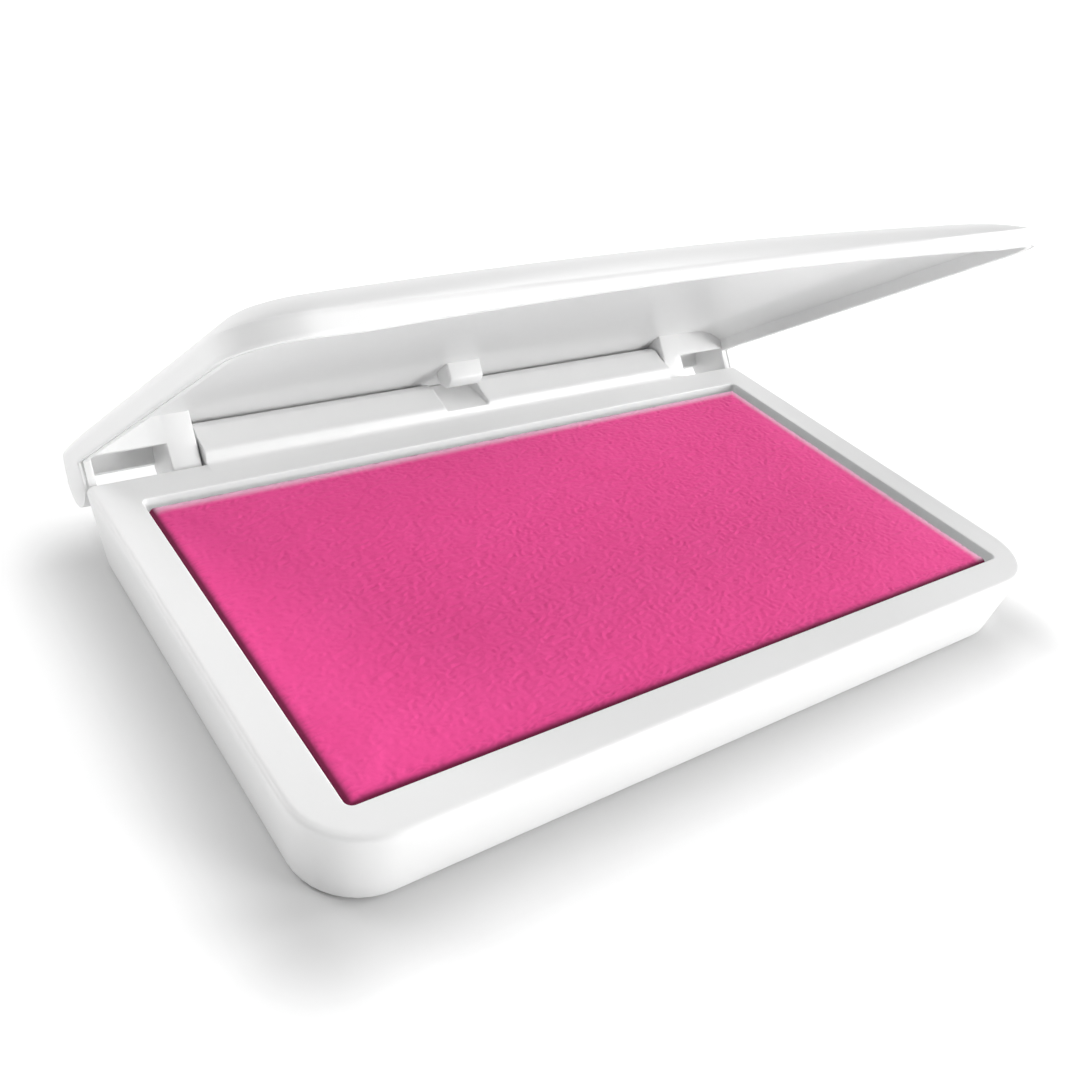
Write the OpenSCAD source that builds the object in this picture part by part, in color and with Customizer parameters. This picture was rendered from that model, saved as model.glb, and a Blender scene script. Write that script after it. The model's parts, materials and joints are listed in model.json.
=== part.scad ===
// Hinged ink pad: a flat moulded case with a recessed, fabric-covered pad and a lid on two hinge pins.
// +X runs along the hinge, +Y points to the hinge and +Z is up.
// The origin is the centre of the underside of the base. The lid is drawn partly open.

/* [Base] */
// Width of the case, along the hinge
case_w = 100; // [98:0.5:108]
// Depth of the deck, from its front edge to its rear edge
deck_d = 58; // [57:0.5:62]
// Height of the base, from the underside to the deck
base_h = 9.6; // [9.2:0.2:12]
// Plan radius of the two front corners
front_r = 7.5; // [6:0.5:9]
// How far the outer walls lean in between the deck and the underside
wall_lean = 1.2; // [0.8:0.1:1.6]
// Height of the softened edge round the underside
foot_edge = 0.8; // [0.4:0.1:1]
// Thickness of the deck
deck_t = 1.6; // [1.4:0.1:1.8]
// Width of the rim, from the outer edge to the hollow that holds the pad
rim_w = 3.4; // [3.2:0.1:3.6]
// Thickness of the plate that closes the underside
plate_t = 1.2; // [1:0.1:1.4]
// Gap between the plate and the walls it snaps into
plate_gap = 0.05; // [0.03:0.01:0.1]

/* [Pad] */
// Width of the opening in the deck
opening_w = 90.8; // [90:0.2:91.8]
// Depth of the opening in the deck
opening_d = 49.2; // [48:0.2:50]
// Gap between the pad and the edge of the opening
pad_gap = 0.3; // [0.3:0.1:0.8]
// How far the face of the pad lies below the deck
pad_sink = 0.3; // [0.3:0.1:1.2]
// Radius of the rolled edge round the face of the pad
pad_roll = 1.2; // [0.8:0.1:1.4]
// Thickness of the woven cover
cover_t = 0.6; // [0.4:0.1:0.8]
// Gap between the woven cover and the felt core
core_gap = 0.05; // [0.02:0.01:0.1]
// Thickness of the tray's walls and floor
tray_t = 0.8; // [0.6:0.1:0.9]
// Gap between the tray and the cover inside it
tray_gap = 0.25; // [0.2:0.05:0.3]

/* [Lid] */
// How far the lid is drawn open, in degrees
lid_open = 38; // [0:1:120]
// Height of the lid's flat top above the deck, in the middle
lid_top = 5.8; // [5.6:0.1:7]
// How much lower the top is where the side shoulders begin
crown = 0.9; // [0.2:0.1:1]
// Height of the upright wall at the foot of the shoulders
lid_wall_h = 2; // [1.6:0.1:2.4]
// Width of the curved shoulder in front, between the upright wall and the top
shoulder_w = 10; // [8:0.5:12]
// Width of the curved shoulder at each side
side_shoulder_w = 6.5; // [6:0.5:9]
// How far the lid's front wall stands behind the front edge of the base
front_ledge = 3; // [2:0.1:3.2]
// Plan radius of the lid's front corners
lid_r = 6; // [4:0.5:7]
// Thickness of the lid's walls
lid_wall_t = 1.3; // [1.1:0.1:1.4]
// Thickness of the lid's top
lid_top_t = 1.05; // [1:0.05:1.1]
// Height of the shallow arch under the front wall, which a fingernail lifts
lift_arch = 0.8; // [0.4:0.1:1]
// Gap between the closed lid and the deck
lid_gap = 0.1; // [0.05:0.05:0.2]

/* [Hinge] */
// Distance from the rear edge of the deck to the hinge axis
hinge_back = 4.5; // [4.5:0.1:5]
// Depth of the hinge axis below the deck
hinge_drop = 0.5; // [0.4:0.1:0.6]
// Outer radius of the lid's round spine
spine_r = 4.2; // [4.1:0.05:4.2]
// Radius of the hinge bar on the base
bar_r = 2.85; // [2.7:0.05:2.85]
// Half the length of the hinge bar
bar_half = 36.2; // [34:0.1:36.3]
// Gap between the ends of the bar and the lid's lugs
lug_gap = 0.3; // [0.3:0.1:0.5]
// Width of each lug
lug_w = 3.5; // [3.2:0.1:4]
// Distance from the rear edge of the deck to the flat front of the lugs
lug_front = 1.4; // [1.2:0.1:1.6]
// Thickness of the panel over each window of the spine
panel_t = 1.1; // [1:0.1:1.4]
// Width of the ear at each end of the spine
ear_w = 1.5; // [1.4:0.1:1.8]
// Radius of the hinge pins
pin_r = 1; // [0.8:0.05:1.1]
// Running clearance of a pin in the bar
pin_clearance = 0.05; // [0.03:0.01:0.08]
// Interference of a pin in its lug
pin_press = 0.02; // [0.01:0.01:0.03]
// Width of the latch tab under the lid
tab_w = 5.2; // [4:0.1:6]
// Radius of the latch tab's round back
tab_r = 1.9; // [1.6:0.1:2]
// Width of the notch in the bar that the tab drops into
notch_w = 6.6; // [6.2:0.1:7.5]

/* [Hidden] */
$fn = 48;
shell_white = [0.95, 0.95, 0.95];
tray_grey = [0.82, 0.82, 0.84];
ink_pink = [0.91, 0.28, 0.58];
pin_steel = [0.7, 0.71, 0.73];
eps = 0.01;
far = 20;

// Base and pad
half_w = case_w / 2;
rear_y = deck_d / 2;
front_y = -rear_y;
hollow_x = half_w - rim_w;
hollow_y = rear_y - rim_w;
hollow_r = 2;
tray_x = hollow_x - 0.3;
tray_y = hollow_y - 0.2;
tray_top = base_h - deck_t;
floor_z = plate_t + tray_t;
cover_x = opening_w / 2 - pad_gap;
cover_y = opening_d / 2 - pad_gap;
pad_z = base_h - pad_sink;
core_x = cover_x - cover_t - core_gap;
core_y = cover_y - cover_t - core_gap;
core_z = pad_z - cover_t - core_gap;

// Hinge
tab_top = 4.75;          // head of the latch tab, cut off inside the thickness of the lid
hinge_y = rear_y + hinge_back;
hinge_z = base_h - hinge_drop;
lug_x = bar_half + lug_gap;
window_x0 = lug_x + lug_w;
window_x1 = half_w - ear_w;
lug_y = rear_y + lug_front;
window_top = 0.5;       // height of the lower edge of the panel over a window
spine_end = -8;         // where the rear skin of the lid stops, in degrees below the hinge axis
lug_end = -138;         // where the round of a lug meets its flat front
pin_bar = 5.5;          // length of a pin inside the bar
pin_lug = 2.7;          // length of a pin inside its lug
pin_bore_extra = 0.6;   // how much deeper the bar's bore is than the pin

// Lid, in its closed position, with heights counted from the deck
lid_front = front_y + front_ledge;
shoulder_y = lid_front + shoulder_w;
front_rise = lid_top - lid_wall_h;
front_arc_r = (shoulder_w * shoulder_w + front_rise * front_rise) / (2 * front_rise);
side_x = half_w - side_shoulder_w;
side_rise = lid_top - crown - lid_wall_h;
side_arc_r = (side_shoulder_w * side_shoulder_w + side_rise * side_rise) / (2 * side_rise);
crown_r = (side_x * side_x + crown * crown) / (2 * crown);
blend_r = 32;           // radius of the long curve from the flat top down to the round spine
top_over_hinge = lid_top + hinge_drop;
blend_run = sqrt(pow(blend_r - spine_r, 2) - pow(blend_r - top_over_hinge, 2));
blend_y = hinge_y - blend_run;
blend_end = acos(blend_run / (blend_r - spine_r));
arch_half = half_w - shoulder_w;
arch_r = (arch_half * arch_half + lift_arch * lift_arch) / (2 * lift_arch);

function arc(c, r, a0, a1, n) =
    [for (i = [0 : n]) let (a = a0 + (a1 - a0) * i / n) [c[0] + r * cos(a), c[1] + r * sin(a)]];

// Outline of the lid's front, top and rear seen from the side, thinned by wall and top thickness
function lid_side_curve(wall, top) =
    concat(
        arc([shoulder_y, lid_top - front_arc_r], front_arc_r - top,
            90 + asin((shoulder_w - wall) / (front_arc_r - top)), 90, 8),
        arc([blend_y, lid_top - blend_r], blend_r - top, 90, blend_end, 6),
        arc([hinge_y, -hinge_drop], spine_r - top, blend_end, spine_end, 9)
    );

function plan_outline(x, y0, y1, r_front, r_rear, n = 10) =
    concat(
        arc([x - r_rear, y1 - r_rear], r_rear, 0, 90, n),
        arc([-x + r_rear, y1 - r_rear], r_rear, 90, 180, n),
        arc([-x + r_front, y0 + r_front], r_front, 180, 270, n),
        arc([x - r_front, y0 + r_front], r_front, 270, 360, n)
    );

// Extrudes an outline drawn in Y and Z along X
module along_x(x0, x1) {
    translate([x0, 0, 0]) rotate([90, 0, 90]) linear_extrude(x1 - x0) children();
}

// Extrudes an outline drawn in X and Z along Y
module along_y(y0, y1) {
    translate([0, y1, 0]) rotate([90, 0, 0]) linear_extrude(y1 - y0) children();
}

module plate(x, y, z0, z1, r) {
    translate([0, 0, z0]) linear_extrude(z1 - z0) polygon(plan_outline(x, -y, y, r, r, 6));
}

module base_slice(z, inset, rear_r) {
    translate([0, 0, z]) linear_extrude(eps)
        polygon(plan_outline(half_w - inset, front_y + inset, rear_y, front_r - inset / 2, rear_r));
}

module base_outside() {
    hull() {
        base_slice(base_h - eps, 0, 0.6);
        base_slice(foot_edge, wall_lean, 2.5);
        base_slice(0, wall_lean + foot_edge, 3.5);
    }
}

module hinge_bar() {
    web_z = base_h - 2.6;
    step_z = base_h + 1.5;
    along_x(-bar_half, bar_half)
        polygon([[rear_y - 1.5, web_z], [rear_y - 1.5, base_h - eps], [rear_y + 0.4, base_h - eps],
                 [rear_y + 0.7, step_z], [hinge_y - 0.2, hinge_z + bar_r],
                 [hinge_y, hinge_z], [hinge_y - 2, web_z]]);
    translate([-bar_half, hinge_y, hinge_z]) rotate([0, 90, 0]) cylinder(h = 2 * bar_half, r = bar_r);
}

module bar_notch() {
    along_x(-notch_w / 2, notch_w / 2)
        polygon([[rear_y, base_h + 0.6], [rear_y + 0.8, base_h + 0.95], [rear_y + 2.5, base_h + 1.15],
                 [rear_y + 5.5, base_h + 1.4], [rear_y + 9, base_h + 1.4], [rear_y + 9, base_h + far],
                 [rear_y, base_h + far]]);
}

// One hinge pin's axis, on the side named by s, from the end of the bar
module pin_rod(s, from, to, r) {
    translate([s > 0 ? from : -to, hinge_y, hinge_z]) rotate([0, 90, 0]) cylinder(h = to - from, r = r);
}

module base_shell() {
    color(shell_white) difference() {
        union() {
            base_outside();
            hinge_bar();
        }
        plate(hollow_x, hollow_y, -eps, tray_top, hollow_r);
        plate(opening_w / 2, opening_d / 2, tray_top - 1, base_h + 1, 0.6);
        bar_notch();
        for (s = [-1, 1])
            pin_rod(s, bar_half - pin_bar - pin_bore_extra, bar_half + 1, pin_r + pin_clearance);
    }
}

module bottom_plate() {
    color(shell_white) plate(hollow_x - plate_gap, hollow_y - plate_gap, 0, plate_t, hollow_r);
}

module pad_tray() {
    color(tray_grey) difference() {
        plate(tray_x, tray_y, plate_t, tray_top, 1.6);
        plate(cover_x + tray_gap, cover_y + tray_gap, floor_z, tray_top + 1, 0.8);
    }
}

// A block with a rolled edge round its upper face
module rolled_plate(x, y, z0, z1, r, roll) {
    hull() for (a = [0 : 30 : 90]) {
        inset = roll * (1 - cos(a));
        plate(x - inset, y - inset, z0, z1 - roll * (1 - sin(a)), r);
    }
}

module ink_core() {
    color(ink_pink) rolled_plate(core_x, core_y, floor_z, core_z, 0.4, pad_roll - cover_t);
}

module pad_cover() {
    color(ink_pink) difference() {
        rolled_plate(cover_x, cover_y, floor_z, pad_z, 0.6, pad_roll);
        rolled_plate(cover_x - cover_t, cover_y - cover_t, floor_z - 1, pad_z - cover_t, 0.4, pad_roll - cover_t);
    }
}

// Keeps the lid's sides: upright walls, curved shoulders and a slightly crowned top
module lid_sides(wall, top, low) {
    x = half_w - wall;
    r = side_arc_r - top;
    lean = asin((side_shoulder_w - wall) / r);
    z = lid_top - crown - side_arc_r;
    tilt = asin(side_x / crown_r);
    along_y(lid_front - 1, hinge_y + far)
        polygon(concat(
            [[x, low]],
            arc([side_x, z], r, 90 - lean, 90, 8),
            arc([0, lid_top - crown_r], crown_r - top, 90 - tilt, 90 + tilt, 10),
            arc([-side_x, z], r, 90, 90 + lean, 8),
            [[-x, low]]));
}

module lid_plan(wall) {
    translate([0, 0, -far]) linear_extrude(2 * far)
        polygon(plan_outline(half_w - wall, lid_front + wall, hinge_y + 8, lid_r - wall, 1));
}

module lid_outside() {
    intersection() {
        along_x(-half_w - 1, half_w + 1)
            polygon(concat([[lid_front, lid_gap]], lid_side_curve(0, 0),
                           [[hinge_y, -hinge_drop], [hinge_y, lid_gap]]));
        lid_sides(0, 0, -far);
        lid_plan(0);
    }
}

module lid_inside() {
    intersection() {
        along_x(-half_w - 1, half_w + 1)
            polygon(concat([[lid_front + lid_wall_t, -3]], lid_side_curve(lid_wall_t, lid_top_t),
                           [[hinge_y, -3]]));
        lid_sides(lid_wall_t, lid_top_t, -far);
        lid_plan(lid_wall_t);
    }
}

// The solid end of the spine on one side: a lug, a see-through window and an outer ear
module spine_end_block() {
    intersection() {
        along_x(lug_x, half_w + 1) intersection() {
            polygon(concat([[lid_front, lid_gap]], lid_side_curve(0, 0),
                           arc([hinge_y, -hinge_drop], spine_r, spine_end, lug_end, 12),
                           [[lug_y - 1, -3.3], [lug_y - 1, lid_gap]]));
            translate([lug_y, -far]) square(2 * far);
        }
        lid_sides(0, 0, -far);
        lid_plan(0);
    }
}

// What is taken out of the block for the window: the gap below the panel and the hollow behind it
module spine_window() {
    behind = lug_y + panel_t;
    along_x(window_x0, window_x1)
        polygon([[lug_y - 1, -far], [lug_y - 1, window_top], [behind, window_top], [behind, -far]]);
    along_x(window_x0, window_x1)
        translate([lug_y, -far]) square([far, far - hinge_drop]);
    intersection() {
        lid_inside();
        along_x(window_x0, window_x1) translate([behind - eps, -far]) square(2 * far);
    }
}

module latch_tab() {
    along_x(-tab_w / 2, tab_w / 2) intersection() {
        translate([rear_y + 0.4, 3.2]) circle(tab_r);
        translate([rear_y - 1.1, 0]) square([far, tab_top]);
    }
}

// The lid where it lies closed, with the deck at height zero
module closed_lid() {
    difference() {
        union() {
            difference() {
                lid_outside();
                lid_inside();
                translate([0, lid_front - 1, lift_arch - arch_r]) rotate([-90, 0, 0])
                    cylinder(h = 1.5 + lid_wall_t, r = arch_r, $fn = 360);
            }
            spine_end_block();
            mirror([1, 0, 0]) spine_end_block();
            latch_tab();
        }
        spine_window();
        mirror([1, 0, 0]) spine_window();
    }
}

module open_about_hinge() {
    translate([0, hinge_y, hinge_z]) rotate([-lid_open, 0, 0]) translate([0, -hinge_y, -hinge_z]) children();
}

module lid_shell() {
    color(shell_white) open_about_hinge() difference() {
        translate([0, 0, base_h]) closed_lid();
        for (s = [-1, 1]) pin_rod(s, lug_x - 1, lug_x + pin_lug, pin_r - pin_press);
    }
}

module hinge_pin(s) {
    color(pin_steel) pin_rod(s, bar_half - pin_bar, lug_x + pin_lug, pin_r);
}

module hinge_pin_left() {
    hinge_pin(-1);
}

module hinge_pin_right() {
    hinge_pin(1);
}

base_shell();
bottom_plate();
pad_tray();
ink_core();
pad_cover();
lid_shell();
hinge_pin_left();
hinge_pin_right();
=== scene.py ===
"""Hinged ink pad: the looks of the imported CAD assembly, in metres in the row frame.

The two moulded shells, the inked cover and the felt core are rebuilt as detailed meshes that stand for
their CAD nodes. The plate, the tray and the pins stay as the CAD nodes, with materials and soft edges.
"""

import json
import math

import bmesh
import bpy
from mathutils import Matrix, Vector, noise


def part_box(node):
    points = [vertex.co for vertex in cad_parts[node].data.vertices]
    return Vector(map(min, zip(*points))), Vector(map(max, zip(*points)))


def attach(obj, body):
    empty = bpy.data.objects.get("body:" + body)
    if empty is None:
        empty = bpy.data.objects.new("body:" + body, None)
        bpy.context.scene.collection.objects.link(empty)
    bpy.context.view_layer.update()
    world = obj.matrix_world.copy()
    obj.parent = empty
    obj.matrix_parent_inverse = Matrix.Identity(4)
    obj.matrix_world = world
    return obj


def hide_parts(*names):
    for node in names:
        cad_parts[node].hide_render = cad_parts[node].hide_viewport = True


MM = 0.001

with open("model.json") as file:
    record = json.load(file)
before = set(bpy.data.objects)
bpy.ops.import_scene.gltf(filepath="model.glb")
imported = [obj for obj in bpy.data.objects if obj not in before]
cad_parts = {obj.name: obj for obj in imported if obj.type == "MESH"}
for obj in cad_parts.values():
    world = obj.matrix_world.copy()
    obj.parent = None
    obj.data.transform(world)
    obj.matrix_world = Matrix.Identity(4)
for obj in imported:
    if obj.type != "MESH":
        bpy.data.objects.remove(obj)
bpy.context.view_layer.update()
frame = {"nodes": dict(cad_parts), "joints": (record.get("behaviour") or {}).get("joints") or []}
JOINT = frame["joints"][0]
NODES = frame["nodes"]


def box_mm(node):
    """Corners of a CAD node at rest, in millimetres."""
    low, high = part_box(node)
    return low / MM, high / MM


# ---------------------------------------------------------------- sizes, in mm
BASE_LOW, BASE_HIGH = box_mm("base_shell")
PLATE_LOW, PLATE_HIGH = box_mm("bottom_plate")
TRAY_LOW, TRAY_HIGH = box_mm("pad_tray")
COVER_LOW, COVER_HIGH = box_mm("pad_cover")
CORE_LOW, CORE_HIGH = box_mm("ink_core")
PIN_LOW, PIN_HIGH = box_mm("hinge_pin_right")

HINGE_Y = JOINT["pos_m"][1] / MM
HINGE_Z = JOINT["pos_m"][2] / MM
LID_OPEN = -JOINT["range_deg"][0]

HALF_W = BASE_HIGH.x
FRONT_Y = BASE_LOW.y
REAR_Y = -FRONT_Y
TRAY_TOP = TRAY_HIGH.z
DECK_Z = TRAY_TOP + 1.6
PIN_R = (PIN_HIGH.z - PIN_LOW.z) / 2
PIN_INNER_X = PIN_LOW.x
PIN_OUTER_X = PIN_HIGH.x

# Base
CORNER_R = 7.5
WALL_LEAN = 1.2
WALL_HEAD = 0.05
# Radii of the rear corners: at the foot, at the bottom of the wall and at the deck
REAR_FOOT_R = 3.5
REAR_WALL_R = 2.5
REAR_CORNER_R = 0.4
FOOT_EDGE = 0.8
DECK_FILLET = 0.6
PAD_GAP = 0.3
OPENING_X = COVER_HIGH.x + PAD_GAP
OPENING_Y = COVER_HIGH.y + PAD_GAP
OPENING_R = 0.8
OPENING_FILLET = 0.15
HOLLOW_X = PLATE_HIGH.x + 0.05
HOLLOW_Y = PLATE_HIGH.y + 0.05
HOLLOW_R = 2.0
BAR_R = 3.07
BAR_HALF = 36.2
NOTCH_HALF = 3.3

# Lid, closed, with heights counted from the deck
LID_FRONT = FRONT_Y + 3
LID_R = 6.0
LID_TOP = 5.8
CROWN = 0.9
WALL_H = 2.0
SHOULDER = 10.0
SIDE_SHOULDER = 6.5
WALL_T = 1.3
TOP_T = 1.05
LID_GAP = 0.1
LIFT_ARCH = 0.8
SPINE_R = 4.2
SPINE_END = -8.0
SPINE_CORNER_R = 0.35
MIDDLE_R = 3.0
HINGE_DROP = DECK_Z - HINGE_Z
LUG_X0 = 36.5
LUG_X1 = 40.0
EAR_X0 = 48.5
LUG_Y = REAR_Y + 1.4
PANEL_T = 1.1
WINDOW_TOP = 0.5
EAR_GROOVE = (0.34, 0.56, 0.25)
HEAD_DEPTH = 0.5  # below the outer skin, where lugs, panels and the tab end inside the wall
TAB_HALF = 2.6
TAB_R = 1.9
TAB_Y = REAR_Y + 0.4
TAB_Z = 3.2
TAB_FACE = REAR_Y - 1.1
# Insets of the rings from the wall to the middle, and how much faster the rear edge moves in
SKIN_STEPS = (0.0, 0.25, 0.6, 1.1, 1.8, 2.7, 3.8, 5.1, 6.5, 8.0, 9.4, 10.5, 12.0, 14.5, 17.5, 20.5,
              23.5, 26.0)
REAR_PACE = 1.33

SIDE_X = HALF_W - SIDE_SHOULDER
ARCH_X = HALF_W - SHOULDER
SHOULDER_R = (SHOULDER**2 + (LID_TOP - WALL_H) ** 2) / (2 * (LID_TOP - WALL_H))
CROWN_R = (SIDE_X**2 + CROWN**2) / (2 * CROWN)
ARCH_R = (ARCH_X**2 + LIFT_ARCH**2) / (2 * LIFT_ARCH)
BLEND_R = 32.0
BLEND_RUN = math.sqrt((BLEND_R - SPINE_R) ** 2 - (BLEND_R - LID_TOP - HINGE_DROP) ** 2)
BLEND_Y = HINGE_Y - BLEND_RUN
BLEND_END = math.degrees(math.acos(BLEND_RUN / (BLEND_R - SPINE_R)))


# ---------------------------------------------------------------- small helpers
def mix(a, b, t):
    return a + (b - a) * t


def smooth(t):
    t = min(1.0, max(0.0, t))
    return t * t * (3 - 2 * t)


def soft_min(a, b, k):
    """The smaller of two heights, with the crease between them rounded over k."""
    h = max(k - abs(a - b), 0.0) / k
    return min(a, b) - h * h * k / 4


def polar(cy, cz, r, degrees):
    a = math.radians(degrees)
    return cy + r * math.cos(a), cz + r * math.sin(a)


def outline(hx, y0, y1, rf, rr, nc=10, nx=44, ny=26):
    """Closed rounded rectangle from y0 to y1, as (x, y, edge) with the same count for every size.
    rf and rr are the radii of the corners at y0 and y1. It starts at the +X end of the y1 edge."""
    points = []
    corners = [
        (hx - rr, y1 - rr, rr, 0, "rear_corner"),
        (-hx + rr, y1 - rr, rr, 90, "rear_corner"),
        (-hx + rf, y0 + rf, rf, 180, "front"),
        (hx - rf, y0 + rf, rf, 270, "front"),
    ]
    edges = [("rear", nx), ("side", ny), ("front", nx), ("side", ny)]
    for k, (cx, cy, r, a0, name) in enumerate(corners):
        for i in range(nc + 1):
            a = math.radians(a0 + 90 * i / nc)
            points.append((cx + r * math.cos(a), cy + r * math.sin(a), name))
        last = points[-1]
        nx_, ny_, nr, na, _ = corners[(k + 1) % 4]
        first = (nx_ + nr * math.cos(math.radians(na)), ny_ + nr * math.sin(math.radians(na)))
        edge, count = edges[k]
        for i in range(1, count):
            t = i / count
            points.append((mix(last[0], first[0], t), mix(last[1], first[1], t), edge))
    return points


def mesh_from_rings(name, rings, wrap=False, cap_start=False, cap_end=False):
    """A mesh lofted through closed rings of points in millimetres."""
    bm = bmesh.new()
    loops = [[bm.verts.new(Vector(p) * MM) for p in ring] for ring in rings]
    pairs = list(zip(loops, loops[1:]))
    if wrap:
        pairs.append((loops[-1], loops[0]))
    for a, b in pairs:
        n = len(a)
        for i in range(n):
            j = (i + 1) % n
            bm.faces.new((a[i], a[j], b[j], b[i]))
    if cap_start:
        bm.faces.new(list(reversed(loops[0])))
    if cap_end:
        bm.faces.new(loops[-1])
    bmesh.ops.remove_doubles(bm, verts=bm.verts, dist=2e-6)
    bmesh.ops.recalc_face_normals(bm, faces=bm.faces)
    return object_from(bm, name)


def object_from(bm, name):
    mesh = bpy.data.meshes.new(name)
    bm.to_mesh(mesh)
    bm.free()
    obj = bpy.data.objects.new(name, mesh)
    bpy.context.scene.collection.objects.link(obj)
    return obj


def bake(obj):
    """Applies the modifiers of obj to its mesh."""
    graph = bpy.context.evaluated_depsgraph_get()
    mesh = bpy.data.meshes.new_from_object(obj.evaluated_get(graph))
    obj.modifiers.clear()
    old = obj.data
    obj.data = mesh
    bpy.data.meshes.remove(old)
    mesh.name = obj.name
    return obj


def combine(obj, others, operation):
    """Boolean of obj with each of the others, which are used up."""
    for other in others:
        modifier = obj.modifiers.new("join", "BOOLEAN")
        modifier.operation = operation
        modifier.solver = "MANIFOLD"
        modifier.object = other
    bake(obj)
    for other in others:
        mesh = other.data
        bpy.data.objects.remove(other)
        bpy.data.meshes.remove(mesh)
    return obj


def soften(obj, width_mm, segments=3, angle=35):
    modifier = obj.modifiers.new("soft edges", "BEVEL")
    modifier.width = width_mm * MM
    modifier.segments = segments
    modifier.limit_method = "ANGLE"
    modifier.angle_limit = math.radians(angle)
    return modifier


def shade(obj, angle=32):
    obj.data.shade_smooth()
    obj.data.set_sharp_from_angle(angle=math.radians(angle))


# ---------------------------------------------------------------- base shell
def base_ring(z, inset, rear_r):
    points = outline(HALF_W - inset, FRONT_Y + inset, REAR_Y, CORNER_R - inset / 2, rear_r)
    return [(x, y, z) for x, y, _ in points]


def inner_ring(hx, hy, r, z):
    return [(x, y, z) for x, y, _ in outline(hx, -hy, hy, r, r)]


def base_body():
    """The body as one closed loft: foot, leaning wall, deck, opening and the hollow underneath."""
    rings = []
    for i in range(6):
        a = math.radians(90 * i / 5)
        inset = WALL_LEAN + FOOT_EDGE * (1 - math.sin(a))
        rings.append(base_ring(FOOT_EDGE * (1 - math.cos(a)), inset, mix(REAR_FOOT_R, REAR_WALL_R, i / 5)))
    wall_top = DECK_Z - DECK_FILLET
    for i in range(1, 6):
        t = i / 5
        z = mix(FOOT_EDGE, wall_top, t)
        rings.append(base_ring(z, mix(WALL_LEAN, WALL_HEAD, t), mix(REAR_WALL_R, REAR_CORNER_R, t)))
    for i in range(1, 6):
        a = math.radians(90 * i / 5)
        inset = WALL_HEAD + DECK_FILLET * (1 - math.cos(a))
        rings.append(base_ring(wall_top + DECK_FILLET * math.sin(a), inset, REAR_CORNER_R))
    for t in (0.06, 0.5, 0.94):
        hx = mix(HALF_W - WALL_HEAD - DECK_FILLET, OPENING_X + OPENING_FILLET, t)
        y0 = mix(FRONT_Y + WALL_HEAD + DECK_FILLET, -OPENING_Y - OPENING_FILLET, t)
        y1 = mix(REAR_Y, OPENING_Y + OPENING_FILLET, t)
        front_r = mix(CORNER_R - 0.3, OPENING_R + 0.3, t)
        rear_r = mix(REAR_CORNER_R, OPENING_R + 0.3, t)
        points = outline(hx, y0, y1, front_r, rear_r)
        rings.append([(x, y, DECK_Z) for x, y, _ in points])
    for i in range(6):
        a = math.radians(90 * i / 5)
        grow = OPENING_FILLET * (1 - math.sin(a))
        z = DECK_Z - OPENING_FILLET * (1 - math.cos(a))
        rings.append(inner_ring(OPENING_X + grow, OPENING_Y + grow, OPENING_R + grow, z))
    rings.append(inner_ring(OPENING_X, OPENING_Y, OPENING_R, TRAY_TOP + 0.1))
    rings.append(inner_ring(OPENING_X + 0.1, OPENING_Y + 0.1, OPENING_R + 0.1, TRAY_TOP))
    rings.append(inner_ring(HOLLOW_X - 0.1, HOLLOW_Y - 0.1, HOLLOW_R, TRAY_TOP))
    rings.append(inner_ring(HOLLOW_X, HOLLOW_Y, HOLLOW_R, TRAY_TOP - 0.1))
    rings.append(inner_ring(HOLLOW_X, HOLLOW_Y, HOLLOW_R, 0.2))
    rings.append(inner_ring(HOLLOW_X + 0.2, HOLLOW_Y + 0.2, HOLLOW_R + 0.2, 0))
    return mesh_from_rings("base_case", rings, wrap=True)


def bar_profile(notch):
    """Section of the hinge bar and its web, anticlockwise in Y and Z."""
    z = DECK_Z
    front = [(REAR_Y - 1.5, z - 0.3), (REAR_Y - 0.75, z - 0.004), (REAR_Y - 0.4, z)]
    front += [(REAR_Y - 0.1, z + 0.03), (REAR_Y + 0.15, z + 0.12), (REAR_Y + 0.32, z + 0.3)]
    front += [(REAR_Y + 0.45, z + 0.7), (REAR_Y + 0.57, z + 1.15), (REAR_Y + 0.68, z + 1.36)]
    front += [(REAR_Y + 0.9, z + 1.5), (REAR_Y + 1.3, z + 1.6), (REAR_Y + 3.0, z + 2.0)]
    arc_points = [polar(HINGE_Y, HINGE_Z, BAR_R, a) for a in range(96, -133, -6)]
    under = [(HINGE_Y - 2.0, z - 2.6), (HINGE_Y - 4.0, z - 2.6), (REAR_Y - 1.5, z - 2.6)]
    section = front + arc_points + under
    if notch:
        section = [(y, min(h, notch_floor(y))) for y, h in section]
    return section


def notch_floor(y):
    """Height of the floor of the notch that the latch tab drops into."""
    steps = [(REAR_Y - 2, 3.0), (REAR_Y, 0.8), (REAR_Y + 0.8, 0.98), (REAR_Y + 2.5, 1.18)]
    steps += [(REAR_Y + 5.5, 1.4), (REAR_Y + 9, 1.4)]
    for (y0, z0), (y1, z1) in zip(steps, steps[1:]):
        if y <= y1:
            return DECK_Z + mix(z0, z1, max(0.0, (y - y0) / (y1 - y0)))
    return DECK_Z + steps[-1][1]


def toward_hinge(section, amount):
    """The section shrunk towards the hinge axis by an amount in millimetres."""
    moved = []
    for y, z in section:
        d = math.hypot(y - HINGE_Y, z - HINGE_Z)
        k = (d - amount) / d
        moved.append((HINGE_Y + (y - HINGE_Y) * k, HINGE_Z + (z - HINGE_Z) * k))
    return moved


def bore_section(section, r):
    """A circle about the hinge axis with one point for each point of the section."""
    moved = []
    for y, z in section:
        a = math.atan2(z - HINGE_Z, y - HINGE_Y)
        moved.append((HINGE_Y + r * math.cos(a), HINGE_Z + r * math.sin(a)))
    return moved


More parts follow.
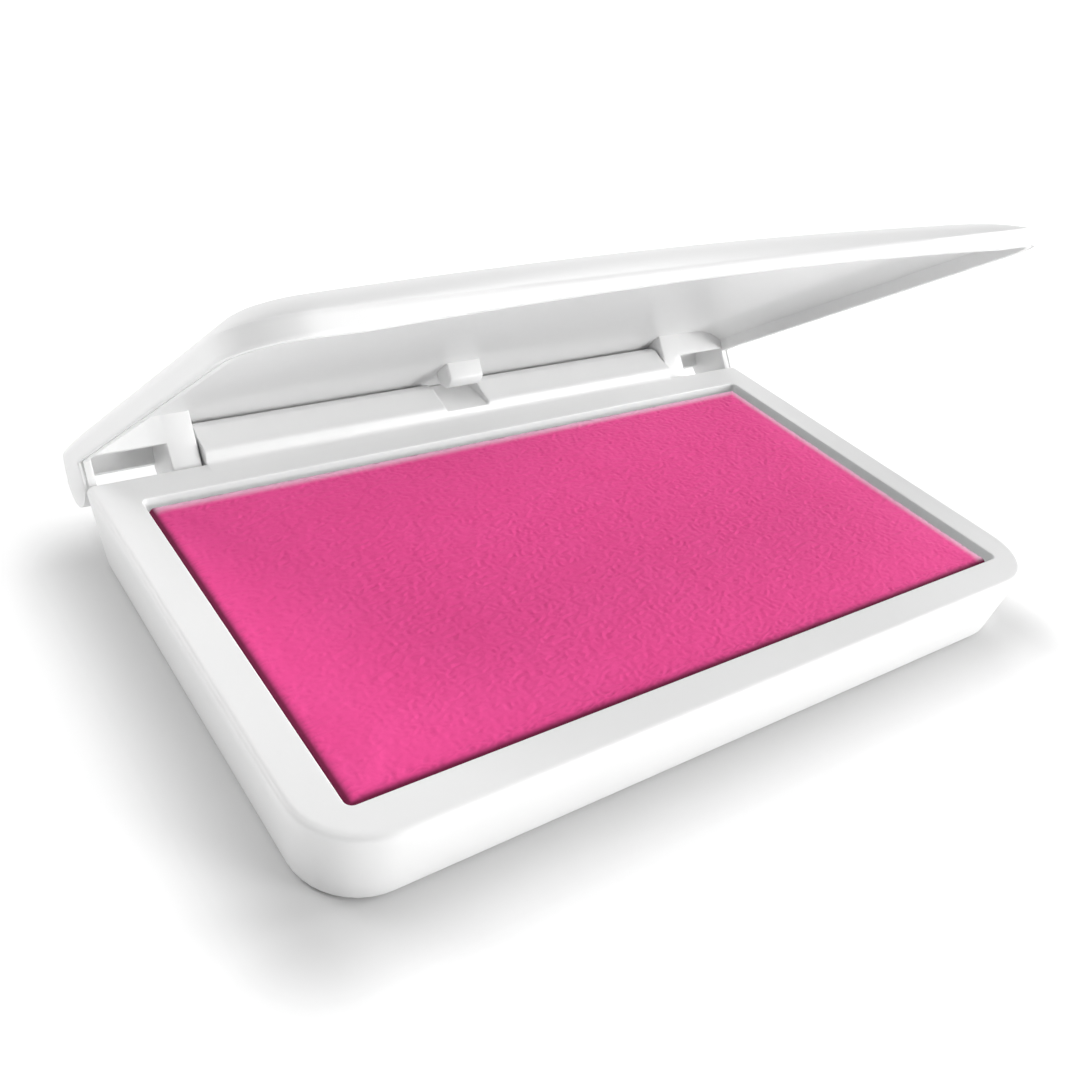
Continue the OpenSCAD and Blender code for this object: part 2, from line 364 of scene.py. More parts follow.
def hinge_bar():
    full = bar_profile(False)
    low = bar_profile(True)
    walls = [[(y, mix(a, b, t)) for (y, a), (_, b) in zip(full, low)] for t in (0.08, 0.5, 0.92)]
    bore = bore_section(full, PIN_R + 0.05)
    end = [(PIN_INNER_X - 0.6, bore), (BAR_HALF, bore), (BAR_HALF, toward_hinge(full, 0.1))]
    end += [(BAR_HALF - 0.03, toward_hinge(full, 0.03)), (BAR_HALF - 0.1, full), (BAR_HALF - 0.2, full)]
    end += [(24.0, full), (12.0, full), (NOTCH_HALF + 0.5, full), (NOTCH_HALF + 0.25, full)]
    end += [(NOTCH_HALF + 0.1, walls[0]), (NOTCH_HALF - 0.05, walls[1]), (NOTCH_HALF - 0.2, walls[2])]
    end += [(NOTCH_HALF - 0.35, low)]
    sections = end + [(-x, s) for x, s in reversed(end)]
    rings = [[(x, y, z) for y, z in s] for x, s in sections]
    return mesh_from_rings("hinge_bar", rings, cap_start=True, cap_end=True)


def base_shell():
    shell = combine(base_body(), [hinge_bar()], "UNION")
    shell.name = "base_case"
    shade(shell)
    return shell


# ---------------------------------------------------------------- lid shell
def shoulder_share(t, top):
    """Height reached at an inset t of the shoulder, from 0 at the wall to 1 on the flat top."""
    r = SHOULDER_R - top
    if t >= SHOULDER:
        return 1.0
    start = math.sqrt(SHOULDER_R**2 - SHOULDER**2)
    return (math.sqrt(r * r - (SHOULDER - t) ** 2) - start + top) / (SHOULDER_R - start)


def top_height(x):
    """Crowned height of the lid's top."""
    return LID_TOP - CROWN_R + math.sqrt(CROWN_R**2 - x * x)


def rear_height(y, top):
    """Height of the long rear curve and the round spine at y, thinned by top."""
    end_y = BLEND_Y + (BLEND_R - top) * math.cos(math.radians(BLEND_END))
    if y <= BLEND_Y:
        return LID_TOP - top
    if y <= end_y:
        return LID_TOP - BLEND_R + math.sqrt((BLEND_R - top) ** 2 - (y - BLEND_Y) ** 2)
    return -HINGE_DROP + math.sqrt(max(0.0, (SPINE_R - top) ** 2 - (y - HINGE_Y) ** 2))


def side_share(x, hx, r):
    """How far a point of a ring faces sideways: 0 on its front and rear edges, 1 on its sides."""
    return min(1.0, max(0.0, (abs(x) - hx + r) / max(r, 0.001))) ** 2


def skin_height(x, y, t, top, side=1.0):
    """Height of the skin at inset t from the wall: shoulder, crowned top and rear curve, blended.
    The shoulders are narrower at the sides than in front."""
    rise = top_height(x) - WALL_H
    t *= mix(1.0, SHOULDER / SIDE_SHOULDER, side)
    over = WALL_H + rise * shoulder_share(t, top) - top
    return soft_min(over, rear_height(y, top), 0.5)


def foot_height(x):
    """Foot of the lid's wall, with the shallow arch under the front."""
    if abs(x) >= ARCH_X:
        return 0.0
    return math.sqrt(ARCH_R**2 - x * x) - (ARCH_R - LIFT_ARCH)


def wall_ring(t, z, rear_r, rear_angle, arch):
    """Ring on the upright part: z on the front and sides, and a line along the spine at the rear."""
    yr, zr = polar(HINGE_Y, -HINGE_DROP, rear_r, rear_angle)
    ring = []
    for x, y, edge in outline(HALF_W - t, LID_FRONT + t, yr, LID_R - t, SPINE_CORNER_R):
        w = smooth((y - REAR_Y) / (yr - SPINE_CORNER_R - REAR_Y))
        height = z + (foot_height(x) * arch if edge == "front" else 0.0)
        ring.append((x, y, mix(height, zr, w)))
    return ring


def skin_rings(wall, top):
    """Rings of the outer skin, or of the inner one when thinned, from the wall's head to the middle."""
    r = SPINE_R - top
    head = WALL_H + (LID_TOP - WALL_H) * shoulder_share(wall, top) - top
    head_angle = math.degrees(math.asin((head + HINGE_DROP) / r))
    start_y, _ = polar(HINGE_Y, 0, r, head_angle)
    last = (start_y - LID_FRONT - wall) / (1 + REAR_PACE)
    rings = []
    for s in [step for step in SKIN_STEPS if step < last - 0.8] + [last]:
        t = wall + s
        k = smooth(s / last)
        y0 = LID_FRONT + t
        y1 = start_y - REAR_PACE * s
        room = max(0.0, (y1 - y0) / 2)
        rf = min(mix(LID_R - wall, MIDDLE_R, k), room * 0.9)
        rr = min(mix(SPINE_CORNER_R, MIDDLE_R, smooth(s / 6)), room * 0.9)
        hx = HALF_W - t
        ring = []
        for x, y, _ in outline(hx, y0, y1, rf, rr):
            if y < (y0 + y1) / 2:
                ring.append((x, y, skin_height(x, y, t, top, side_share(x, hx, rf))))
            else:
                ring.append((x, y, skin_height(x, y, HALF_W - abs(x), top)))
        rings.append(ring)
    return rings, head, head_angle


def lid_skin():
    """The lid's thin wall as one closed loft: outer skin, rim with its fine groove, and inner skin."""
    outer, head, angle = skin_rings(0.0, 0.0)
    inner, in_head, in_angle = skin_rings(WALL_T, TOP_T)
    rings = list(reversed(outer[1:])) + [soft_crease(0.28, outer)]
    levels = 7
    for i in range(levels):
        q = i / levels
        z = mix(head - 0.25, LID_GAP + 0.2, q)
        rings.append(wall_ring(0, z, SPINE_R, mix(angle - 4, SPINE_END + 3, q), q))
    rim = [(0.0, 0.2), (0.06, 0.07), (0.18, 0.0), (0.3, 0.0), (0.33, 0.28), (0.56, 0.28), (0.59, 0.0)]
    rim += [(WALL_T - 0.18, 0.0), (WALL_T - 0.05, 0.06), (WALL_T, 0.2)]
    for t, up in rim:
        r = SPINE_R - TOP_T * t / WALL_T
        rings.append(wall_ring(t, LID_GAP + up, r, SPINE_END + (0.6 if t in (0.0, WALL_T) else 0), 1))
    for i in range(1, levels):
        q = i / levels
        z = mix(LID_GAP + 0.2, in_head, q)
        rings.append(wall_ring(WALL_T, z, SPINE_R - TOP_T, mix(SPINE_END + 1, in_angle, q), 1 - q))
    rings += inner
    return mesh_from_rings("lid", rings)


def soft_crease(inset, outer):
    """Ring just under the crease between the wall and the shoulder, so that the crease has a small radius."""
    ring = []
    for (x0, y0, z0), (x1, y1, z1) in zip(outer[0], outer[1]):
        ring.append((mix(x0, x1, inset), mix(y0, y1, inset), mix(z0, z1, inset) - 0.03))
    return ring


def block(name, sections, bevel):
    """A closed solid lofted along X through (x, section) pairs, with softened edges."""
    rings = [[(x, y, z) for y, z in s] for x, s in sections]
    obj = mesh_from_rings(name, rings, cap_start=True, cap_end=True)
    if bevel:
        soften(obj, bevel)
    return bake(obj)


def skin_middle(x, y, depth):
    """A height inside the skin, depth below its outer face."""
    t = HALF_W - abs(x)
    return skin_height(x, y, t, 0.0) - depth


def lug_section(x, top_limit=99.0):
    """Section of a lug or ear: flat front, round underside, and a head buried in the skin."""
    ys = [LUG_Y + 0.7 * i for i in range(7)]
    head = [(y, min(skin_middle(x, y, HEAD_DEPTH), top_limit)) for y in ys]
    back = [polar(HINGE_Y, -HINGE_DROP, SPINE_R - HEAD_DEPTH, a) for a in (45, 35, 25, 15, 5, SPINE_END + 1)]
    back = [(y, min(z, top_limit)) for y, z in back]
    round_part = [polar(HINGE_Y, -HINGE_DROP, SPINE_R, SPINE_END - 0.1 - 6.5 * i) for i in range(21)]
    return head + back + round_part


def panel_section(x):
    """Section of the thin panel over a window."""
    low, back = WINDOW_TOP, LUG_Y + PANEL_T
    middle = mix(LUG_Y, back, 0.5)
    head = [(y, skin_middle(x, y, HEAD_DEPTH)) for y in (LUG_Y, middle, back)]
    return head + [(back, low), (middle, low), (LUG_Y, low)]


def ear_sections(s):
    """Sections of an ear. The groove of the lid's rim runs on down its front face."""
    lip, inner, deep = EAR_GROOVE
    insets = [(0.0, 0.22), (0.06, 0.08), (0.16, 0.0), (lip - 0.04, 0.0)]
    insets += [(lip, deep), (inner, deep), (inner + 0.05, 0.0)]
    insets += [(HALF_W - EAR_X0 - 0.18, 0.0), (HALF_W - EAR_X0 - 0.05, 0.06), (HALF_W - EAR_X0, 0.2)]
    sections = []
    for inset, back in insets:
        x = HALF_W - inset
        section = [(max(y, LUG_Y + back), z) for y, z in lug_section(x, 1.0)]
        sections.append((s * x, section))
    return sections


def spine_blocks(s):
    """Lug, window panel and ear at one end of the spine; s names the side."""
    lug = block("lug", [(s * x, lug_section(x)) for x in (LUG_X0, 38.2, LUG_X1)], 0.22)
    panels = [(s * x, panel_section(x)) for x in (LUG_X1 - 0.6, 42, 44, 46, 47.5, EAR_X0 + 0.5)]
    panel = block("window_panel", panels, 0.12)
    ear = block("ear", ear_sections(s), 0)
    return [lug, panel, ear]


def latch_tab():
    """The D-shaped tab that hangs from the lid's ceiling."""
    start = math.degrees(math.acos((TAB_FACE - TAB_Y) / TAB_R))
    arc = [polar(TAB_Y, TAB_Z, TAB_R, mix(start, -start, i / 20)) for i in range(21)]
    section = [(y, min(z, skin_middle(0, y, HEAD_DEPTH))) for y, z in arc]
    return block("tab", [(x, section) for x in (-TAB_HALF, 0, TAB_HALF)], 0.3)


def pin_bore(s):
    """Cylinder that cuts the bore of one pin in its lug."""
    bm = bmesh.new()
    length = (PIN_OUTER_X + 0.05 - (LUG_X0 - 1)) * MM
    bmesh.ops.create_cone(bm, cap_ends=True, segments=48, radius1=(PIN_R + 0.01) * MM,
                          radius2=(PIN_R + 0.01) * MM, depth=length)
    middle = Vector((s * (LUG_X0 - 1 + length / MM / 2), HINGE_Y, -HINGE_DROP)) * MM
    turn = Matrix.Translation(middle) @ Matrix.Rotation(math.radians(90), 4, "Y")
    bmesh.ops.transform(bm, matrix=turn, verts=bm.verts)
    return object_from(bm, "bore")


def open_lid(obj):
    """Turns the closed lid, drawn with the deck at height zero, to the open rest position."""
    lift = Matrix.Translation((0, 0, DECK_Z * MM))
    pivot = Matrix.Translation((0, HINGE_Y * MM, HINGE_Z * MM))
    turn = Matrix.Rotation(math.radians(-LID_OPEN), 4, "X")
    obj.data.transform(pivot @ turn @ pivot.inverted() @ lift)
    return obj


def lid_shell():
    parts = spine_blocks(1) + spine_blocks(-1) + [latch_tab()]
    lid = combine(lid_skin(), parts, "UNION")
    lid = combine(lid, [pin_bore(1), pin_bore(-1)], "DIFFERENCE")
    lid.name = "lid"
    shade(lid)
    return open_lid(lid)


# ---------------------------------------------------------------- inked pad
PAD_ROLL = 1.2
PAD_CORNER_R = 0.45
CLOTH_T = 0.4
CLOTH_CROWN = 0.12
CLOTH_SCALE = 20.0
CLOTH_STEPS = 20
CLOTH_PRESSURE = 3.0
HELD_BELOW = 6.6
SKIRT_LEVELS = (6.5, 4.2, COVER_LOW.z + 0.02)
CAGE_INSET = 0.03
CAGE_SPACING = (1.6, 0.3, 0.66)  # width of the fine bands, fine step and coarse step
FOLD_HEIGHT = 0.075
FOLD_LEVEL = 0.75
GRAIN_HEIGHT = 0.035
EMBOSS_INSET = 0.2
EMBOSS_FADE = 0.8
FELT_CORNER_R = 1.2
FELT_ROLL = 0.7


def crinkle(x, y):
    """Height in mm of the fine crinkled emboss of the cover."""
    warp = noise.noise(Vector((x * 0.4, y * 0.6, 3.1)))
    a = noise.noise(Vector((x * 1.0 + 0.9 * warp, y * 2.6 + 0.7 * warp, 0.0)))
    b = noise.noise(Vector((x * 1.9, y * 4.2 + 1.5 * warp, 7.7)))
    fold = 1 - min(1.0, abs(a) * 2.0)
    return FOLD_HEIGHT * (fold - FOLD_LEVEL) + GRAIN_HEIGHT * b


def spaced(half, edge, fine, coarse):
    """Coordinates from -half to half, finely spaced near both ends."""
    values = [-half + fine * i for i in range(int(edge / fine))]
    start = values[-1] + fine
    n = max(2, round((-2 * start) / coarse))
    middle = [mix(start, -start, i / n) for i in range(n + 1)]
    return values + middle + [-v for v in reversed(values)]


def corner_pull(x, y, hx, hy, r):
    """Moves a point of a rectangle's corner square onto the rounded corner."""
    a = (abs(x) - (hx - r)) / r
    b = (abs(y) - (hy - r)) / r
    if a <= 0 or b <= 0:
        return x, y
    u = a * math.sqrt(1 - b * b / 2)
    v = b * math.sqrt(1 - a * a / 2)
    return math.copysign(hx - r + r * u, x), math.copysign(hy - r + r * v, y)


def edge_distance(x, y, hx, hy, r):
    """How far a point lies inside the rounded outline."""
    a = abs(x) - (hx - r)
    b = abs(y) - (hy - r)
    outside = math.hypot(max(a, 0), max(b, 0))
    return r - outside - min(max(a, b), 0.0)


def cover_cage():
    """The cover before it is tensioned: a coarse sheet with a rolled edge and a skirt down into the tray."""
    hx, hy = COVER_HIGH.x - CAGE_INSET, COVER_HIGH.y - CAGE_INSET
    xs = spaced(hx, *CAGE_SPACING)
    ys = spaced(hy, *CAGE_SPACING)
    bm = bmesh.new()
    grid = []
    for y in ys:
        row = []
        for x in xs:
            px, py = corner_pull(x, y, hx, hy, PAD_CORNER_R)
            d = min(PAD_ROLL, max(0.0, edge_distance(px, py, hx, hy, PAD_CORNER_R)))
            drop = PAD_ROLL - math.sqrt(max(0.0, PAD_ROLL**2 - (PAD_ROLL - d) ** 2))
            z = COVER_HIGH.z - CLOTH_CROWN - drop
            row.append(bm.verts.new(Vector((px, py, z)) * MM))
        grid.append(row)
    for j in range(len(ys) - 1):
        for i in range(len(xs) - 1):
            bm.faces.new((grid[j][i], grid[j][i + 1], grid[j + 1][i + 1], grid[j + 1][i]))
    border = grid[0] + [row[-1] for row in grid[1:]] + grid[-1][-2::-1] + [row[0] for row in grid[-2:0:-1]]
    for z in SKIRT_LEVELS:
        lower = [bm.verts.new((v.co.x, v.co.y, z * MM)) for v in border]
        for i in range(len(border)):
            j = (i + 1) % len(border)
            bm.faces.new((border[j], border[i], lower[i], lower[j]))
        border = lower
    bmesh.ops.recalc_face_normals(bm, faces=bm.faces)
    return object_from(bm, "pad_fabric")


def tension(cover):
    """Swells the cover as cloth held at its skirt, and keeps the shape, moving no point by more than the cap.
    It is solved enlarged, because the solver is meant for things about a metre across."""
    mesh = cover.data
    rest = [v.co.copy() for v in mesh.vertices]
    held = cover.vertex_groups.new(name="held")
    held.add([i for i, co in enumerate(rest) if co.z < HELD_BELOW * MM], 1.0, "REPLACE")
    mesh.transform(Matrix.Scale(CLOTH_SCALE, 4))
    modifier = cover.modifiers.new("cloth", "CLOTH")
    modifier.point_cache.frame_end = CLOTH_STEPS
    settings = modifier.settings
    settings.vertex_group_mass = "held"
    settings.use_pressure = True
    settings.uniform_pressure_force = CLOTH_PRESSURE
    settings.effector_weights.gravity = 0.0
    scene = bpy.context.scene
    for step in range(1, CLOTH_STEPS + 1):
        scene.frame_set(step)
    solved = cover.evaluated_get(bpy.context.evaluated_depsgraph_get()).data
    moved = [v.co / CLOTH_SCALE for v in solved.vertices]
    cover.modifiers.clear()
    cover.vertex_groups.clear()
    scene.frame_set(1)
    for vertex, start, end in zip(mesh.vertices, rest, moved):
        move = end - start
        if move.length > CLOTH_CROWN * MM:
            move.length = CLOTH_CROWN * MM
        vertex.co = start + move


def emboss(cover):
    """Adds the crinkle to the face of the cover, fading out on the rolled edge."""
    hx, hy = COVER_HIGH.x, COVER_HIGH.y
    for vertex in cover.data.vertices:
        x, y, z = vertex.co / MM
        share = smooth((edge_distance(x, y, hx, hy, PAD_CORNER_R) - EMBOSS_INSET) / EMBOSS_FADE)
        if share > 0:
            vertex.co.z += crinkle(x, y) * share * MM


def pad_cover():
    """The taut cover: tensioned as cloth, refined, embossed and given its thickness."""
    cover = cover_cage()
    tension(cover)
    fine = cover.modifiers.new("fine", "SUBSURF")
    fine.levels = 2
    bake(cover)
    emboss(cover)
    thick = cover.modifiers.new("thick", "SOLIDIFY")
    thick.thickness = CLOTH_T * MM
    thick.offset = -1
    bake(cover)
    cover.data.shade_smooth()
    return cover


def felt_core():
    """The block of inked felt inside the cover."""
    hx, hy = CORE_HIGH.x, CORE_HIGH.y
    top, low = CORE_HIGH.z, CORE_LOW.z + 0.02
    rings = []
    for inset, z in ((0.5, low), (0.15, low + 0.15), (0.0, low + 0.5), (0.0, top - FELT_ROLL)):
        rings.append(inner_ring(hx - inset, hy - inset, FELT_CORNER_R - inset / 2, z))
    for i in range(1, 5):
        a = math.radians(90 * i / 4)
        inset = FELT_ROLL * (1 - math.cos(a)) + 0.05
        z = top - FELT_ROLL + FELT_ROLL * math.sin(a) - 0.05
        rings.append(inner_ring(hx - inset, hy - inset, FELT_CORNER_R - inset / 2, z))
    core = mesh_from_rings("felt_core", rings, cap_start=True, cap_end=True)
    shade(core)
    return core


# ---------------------------------------------------------------- materials
# Painted shade: the cloth turns plum low on its rolled edge, down in the gap beside the deck
PAINTED_SHADE_PLUM = (0.2, 0.012, 0.06)
PAINTED_SHADE_DEPTHS = (0.6, 0.15)  # mm below the pad's face where the painted shade is full and where it is gone
# Painted highlight: a paler pink along the pad's two far edges, where its roll would catch the light
PAINTED_HIGHLIGHT_PINK = (0.97, 0.54, 0.72)
PAINTED_HIGHLIGHT_INSETS = (2.6, 1.0)  # mm from the far edges where the painted highlight begins and where it is full


def new_material(name):
    material = bpy.data.materials.new(name)
    material.use_nodes = True
    nodes = material.node_tree.nodes
    return material, nodes, material.node_tree.links, nodes["Principled BSDF"]


def coordinates(nodes):
    """Object coordinates, in metres."""
    return nodes.new("ShaderNodeTexCoord").outputs["Object"]


def noise_node(nodes, links, vector, scale, detail=4.0, roughness=0.5):
    node = nodes.new("ShaderNodeTexNoise")
    node.inputs["Scale"].default_value = scale
    node.inputs["Detail"].default_value = detail
    node.inputs["Roughness"].default_value = roughness
    links.new(vector, node.inputs["Vector"])
    return node.outputs["Fac"]


def ramp_value(nodes, links, fac, low, high):
    """Maps 0..1 to low..high."""
    node = nodes.new("ShaderNodeMapRange")
    node.inputs["To Min"].default_value = low
    node.inputs["To Max"].default_value = high
    links.new(fac, node.inputs["Value"])
    return node.outputs["Result"]


def smooth_range(nodes, links, value, start, end, amount=1.0):
    """Rises smoothly from 0 to the amount while the value goes from start to end."""
    node = nodes.new("ShaderNodeMapRange")
    node.interpolation_type = "SMOOTHSTEP"
    node.inputs["From Min"].default_value = start
    node.inputs["From Max"].default_value = end
    node.inputs["To Max"].default_value = amount
    links.new(value, node.inputs["Value"])
    return node.outputs["Result"]


def mix_colour(nodes, links, fac, a, b):
    """Mixes two colours, each a plain colour or the output of another node."""
    node = nodes.new("ShaderNodeMix")
    node.data_type = "RGBA"
    for socket, colour in ((node.inputs[6], a), (node.inputs[7], b)):
        if isinstance(colour, tuple):
            socket.default_value = (*colour, 1)
        else:
            links.new(colour, socket)
    links.new(fac, node.inputs[0])
    return node.outputs[2]


def bump_node(nodes, links, height, distance, strength=1.0):
    node = nodes.new("ShaderNodeBump")
    node.inputs["Distance"].default_value = distance
    node.inputs["Strength"].default_value = strength
    links.new(height, node.inputs["Height"])
    return node.outputs["Normal"]


def white_plastic():
    material, nodes, links, shader = new_material("white_plastic")
    vector = coordinates(nodes)
    broad = noise_node(nodes, links, vector, 90, 3)
    fine = noise_node(nodes, links, vector, 1400, 5, 0.6)
    colour = mix_colour(nodes, links, broad, (0.855, 0.855, 0.855), (0.875, 0.875, 0.873))
    links.new(colour, shader.inputs["Base Color"])
    links.new(ramp_value(nodes, links, fine, 0.34, 0.46), shader.inputs["Roughness"])
    links.new(bump_node(nodes, links, fine, 0.000008), shader.inputs["Normal"])
    shader.inputs["Coat Weight"].default_value = 0.15
    shader.inputs["Coat Roughness"].default_value = 0.2
    return material


def grey_plastic():
    material, nodes, links, shader = new_material("tray_plastic")
    vector = coordinates(nodes)
    broad = noise_node(nodes, links, vector, 120, 3)
    fine = noise_node(nodes, links, vector, 1600, 5, 0.6)
    colour = mix_colour(nodes, links, broad, (0.74, 0.74, 0.75), (0.78, 0.78, 0.79))
    links.new(colour, shader.inputs["Base Color"])
    links.new(ramp_value(nodes, links, fine, 0.35, 0.5), shader.inputs["Roughness"])
    links.new(bump_node(nodes, links, fine, 0.00001), shader.inputs["Normal"])
    return material


def pink_fabric():
    """Inked cloth, with painted shade low on its rolled edge and a painted highlight at its two far crests.
    """
    material, nodes, links, shader = new_material("ink_fabric")
    vector = coordinates(nodes)
    broad = noise_node(nodes, links, vector, 160, 3)
    weave = noise_node(nodes, links, vector, 2600, 4, 0.6)
    place = nodes.new("ShaderNodeSeparateXYZ")
    links.new(vector, place.inputs["Vector"])
    # Painted highlight: paler pink towards the far X and Y edges of the pad
    highlight_mask = nodes.new("ShaderNodeMath")
    highlight_mask.operation = "MAXIMUM"
    for slot, axis, reach in ((0, "X", COVER_HIGH.x), (1, "Y", COVER_HIGH.y)):
        start, end = [(reach - inset) * MM for inset in PAINTED_HIGHLIGHT_INSETS]
        links.new(smooth_range(nodes, links, place.outputs[axis], start, end), highlight_mask.inputs[slot])
    # Painted shade: plum low on the rolled edge, fading out towards the pad's face
    low, high = [(COVER_HIGH.z - depth) * MM for depth in PAINTED_SHADE_DEPTHS]
    up = smooth_range(nodes, links, place.outputs["Z"], low, high)
    face = mix_colour(nodes, links, broad, (0.87, 0.065, 0.29), (0.92, 0.084, 0.335))
    face = mix_colour(nodes, links, highlight_mask.outputs["Value"], face, PAINTED_HIGHLIGHT_PINK)
    links.new(mix_colour(nodes, links, up, PAINTED_SHADE_PLUM, face), shader.inputs["Base Color"])
    links.new(ramp_value(nodes, links, weave, 0.7, 0.9), shader.inputs["Roughness"])
    links.new(bump_node(nodes, links, weave, 0.00003), shader.inputs["Normal"])
    shader.inputs["Specular IOR Level"].default_value = 0.25
    shader.inputs["Sheen Weight"].default_value = 0.3
    shader.inputs["Sheen Roughness"].default_value = 0.25
    return material


def pink_felt():
    material, nodes, links, shader = new_material("ink_felt")
    vector = coordinates(nodes)
    fibre = noise_node(nodes, links, vector, 2000, 6, 0.7)
    colour = mix_colour(nodes, links, fibre, (0.5, 0.03, 0.16), (0.72, 0.06, 0.26))
    links.new(colour, shader.inputs["Base Color"])
    links.new(ramp_value(nodes, links, fibre, 0.75, 0.95), shader.inputs["Roughness"])
    links.new(bump_node(nodes, links, fibre, 0.0001), shader.inputs["Normal"])
    return material


def pin_steel():
    material, nodes, links, shader = new_material("pin_steel")
    vector = coordinates(nodes)
    fine = noise_node(nodes, links, vector, 900, 4)
    colour = mix_colour(nodes, links, fine, (0.56, 0.57, 0.59), (0.68, 0.69, 0.7))
    links.new(colour, shader.inputs["Base Color"])
    links.new(ramp_value(nodes, links, fine, 0.18, 0.35), shader.inputs["Roughness"])
    shader.inputs["Metallic"].default_value = 1.0
    return material


def dress(obj, material):
    obj.data.materials.clear()
    obj.data.materials.append(material)


# ---------------------------------------------------------------- the object
def build_object():
    white, grey, steel = white_plastic(), grey_plastic(), pin_steel()
    pink, felt = pink_fabric(), pink_felt()
    base = base_shell()
    dress(base, white)
    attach(base, "base")
    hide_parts("base_shell")
    lid = lid_shell()
    dress(lid, white)
    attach(lid, "lid")
    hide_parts("lid_shell")
    core = felt_core()
    dress(core, felt)
    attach(core, "base")
    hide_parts("ink_core")
    cover = pad_cover()
    dress(cover, pink)
    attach(cover, "base")
    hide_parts("pad_cover")
    # The pad throws no pink on the white shells
    for piece in (cover, core):
        piece.visible_diffuse = False
        piece.visible_glossy = False
    for name, material, slot_name in (
        ("bottom_plate", white, "shell_plastic"),
        ("pad_tray", grey, "tray_plastic"),
        ("hinge_pin_left", steel, "pin_steel"),
        ("hinge_pin_right", steel, "pin_steel"),
    ):
        node = NODES[name]
        dress(node, material)
        soften(node, 0.15, 2)


# ---------------------------------------------------------------- stage
CAMERA_PLACE = (-78.0, -79.3, 80.9)
CAMERA_ANGLES = (-41.1, 33.75, -10.8)  # heading, downward tilt and roll
CAMERA_LENS = 37.3

# Soft round lights: name, place and width in metres, power in watts
LIGHTS = (
    ("front_right_low", (0.55, -0.75, 0.18), 0.35, 3.5),
    ("front_right", (0.45, -0.62, 0.40), 0.50, 1.7),
    ("right_low", (0.85, -0.15, 0.20), 0.40, 6.0),
    ("back_left", (-0.50, 0.60, 0.50), 0.40, 2.0),
    ("back_right", (0.50, 0.60, 0.50), 0.40, 1.2),
    ("top_left", (-0.35, 0.10, 0.85), 0.50, 1.7),
)
DOME_TOWARDS = (0.0, 0.8, 1.0)
DOME_DIM = 0.0
DOME_BRIGHT = 0.38
FLOOR_WHITE = 0.68
FLOOR_RINGS = ((3000, 0), (4000, 300))  # radius and height in mm
PAINTED_SHADE_WIDTH = 0.013  # metres from the base over which the near glow rises; the missing glow there is painted shade round the base
GLOW = 0.5
FAR_REACH = (0.3, 0.9)  # metres from the base over which the far glow is added
FAR_GLOW = 0.5


def floor():
    """A white floor with a raised rim: its real shadow beside the object is deepened by painted shade where
    its glow fades out towards the base; it glows further out, and more far off.
    """
    turns = [2 * math.pi * i / 48 for i in range(48)]
    rings = [[(r * math.cos(a), r * math.sin(a), z) for a in turns] for r, z in FLOOR_RINGS]
    obj = mesh_from_rings("floor", rings, cap_start=True)
    material, nodes, links, shader = new_material("floor_white")
    point = nodes.new("ShaderNodeTexCoord").outputs["Object"]
    corner = ((HALF_W - WALL_LEAN) * MM, (REAR_Y - WALL_LEAN) * MM, 0)
    for operation, amount in (("ABSOLUTE", None), ("SUBTRACT", corner), ("MAXIMUM", (0, 0, 0))):
        step = nodes.new("ShaderNodeVectorMath")
        step.operation = operation
        links.new(point, step.inputs[0])
        if amount:
            step.inputs[1].default_value = amount
        point = step.outputs["Vector"]
    distance = nodes.new("ShaderNodeVectorMath")
    distance.operation = "LENGTH"
    links.new(point, distance.inputs[0])
    length = distance.outputs["Value"]
    total = nodes.new("ShaderNodeMath")
    total.operation = "ADD"
    # Painted shade: the near glow is none at the base and full a little way out
    links.new(smooth_range(nodes, links, length, 0.0, PAINTED_SHADE_WIDTH, GLOW), total.inputs[0])
    links.new(smooth_range(nodes, links, length, *FAR_REACH, FAR_GLOW), total.inputs[1])
    links.new(total.outputs["Value"], shader.inputs["Emission Strength"])
    shader.inputs["Base Color"].default_value = (FLOOR_WHITE, FLOOR_WHITE, FLOOR_WHITE, 1)
    shader.inputs["Roughness"].default_value = 0.9
    shader.inputs["Specular IOR Level"].default_value = 0.1
    shader.inputs["Emission Color"].default_value = (1, 1, 1, 1)
    obj.data.materials.append(material)
    obj.location.z = -0.02 * MM


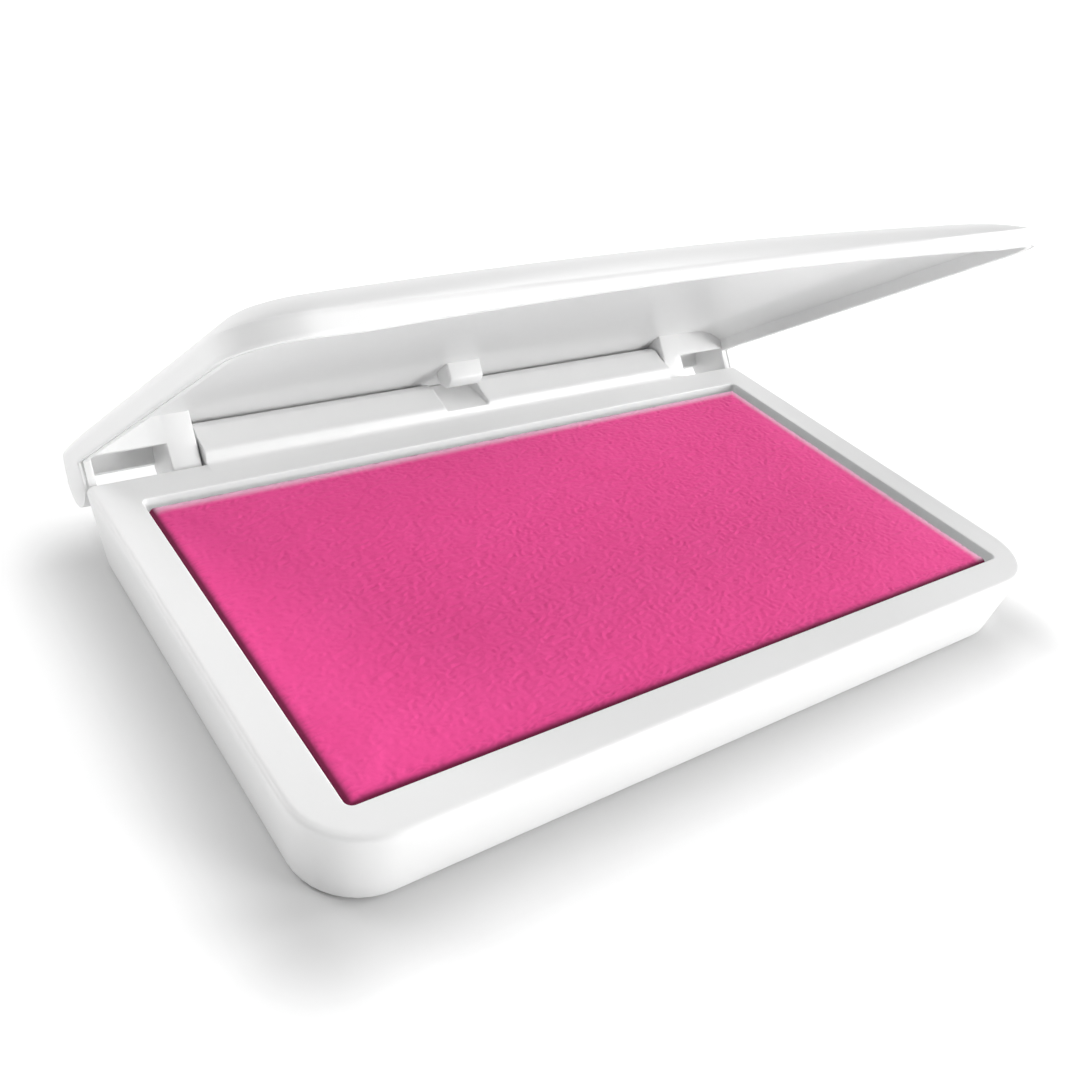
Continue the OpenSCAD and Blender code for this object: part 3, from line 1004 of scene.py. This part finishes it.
def soft_light(name, place, size, power, target=(0, 0, 0.01)):
    data = bpy.data.lights.new(name, "AREA")
    data.shape = "DISK"
    data.size = size
    data.energy = power
    obj = bpy.data.objects.new(name, data)
    obj.location = place
    obj.rotation_mode = "QUATERNION"
    obj.rotation_quaternion = (Vector(target) - Vector(place)).to_track_quat("-Z", "Y")
    bpy.context.scene.collection.objects.link(obj)


def studio():
    """Soft studio: a dim dome that is brighter above and behind, and soft lights round the object."""
    world = bpy.data.worlds.new("studio")
    bpy.context.scene.world = world
    world.use_nodes = True
    nodes = world.node_tree.nodes
    links = world.node_tree.links
    direction = nodes.new("ShaderNodeTexCoord")
    along = nodes.new("ShaderNodeVectorMath")
    along.operation = "DOT_PRODUCT"
    along.inputs[1].default_value = Vector(DOME_TOWARDS).normalized()
    links.new(direction.outputs["Generated"], along.inputs[0])
    strength = nodes.new("ShaderNodeMapRange")
    strength.inputs["From Min"].default_value = -1.0
    strength.inputs["From Max"].default_value = 1.0
    strength.inputs["To Min"].default_value = DOME_DIM
    strength.inputs["To Max"].default_value = DOME_BRIGHT
    links.new(along.outputs["Value"], strength.inputs["Value"])
    links.new(strength.outputs["Result"], nodes["Background"].inputs["Strength"])
    nodes["Background"].inputs["Color"].default_value = (1, 1, 1, 1)
    for name, place, size, power in LIGHTS:
        soft_light(name, place, size, power)
    scene = bpy.context.scene
    scene.view_settings.view_transform = "Standard"
    scene.view_settings.look = "None"


def camera():
    """The camera, from its place in mm and its three angles in degrees."""
    place = Vector(CAMERA_PLACE) * MM
    heading, down_by, roll = [math.radians(angle) for angle in CAMERA_ANGLES]
    look = Vector((
        -math.sin(heading) * math.cos(down_by),
        math.cos(heading) * math.cos(down_by),
        -math.sin(down_by),
    ))
    level = look.cross(Vector((0, 0, 1))).normalized()
    right = level * math.cos(roll) + look.cross(level) * math.sin(roll)
    up = right.cross(look)
    data = bpy.data.cameras.new("camera")
    data.lens = CAMERA_LENS
    data.sensor_width = 36.0
    data.clip_start = 0.005
    data.clip_end = 60.0
    obj = bpy.data.objects.new("camera", data)
    turn = Matrix((right, up, -look)).transposed().to_4x4()
    obj.matrix_world = Matrix.Translation(place) @ turn
    bpy.context.scene.collection.objects.link(obj)
    bpy.context.scene.camera = obj


build_object()
floor()
studio()
camera()
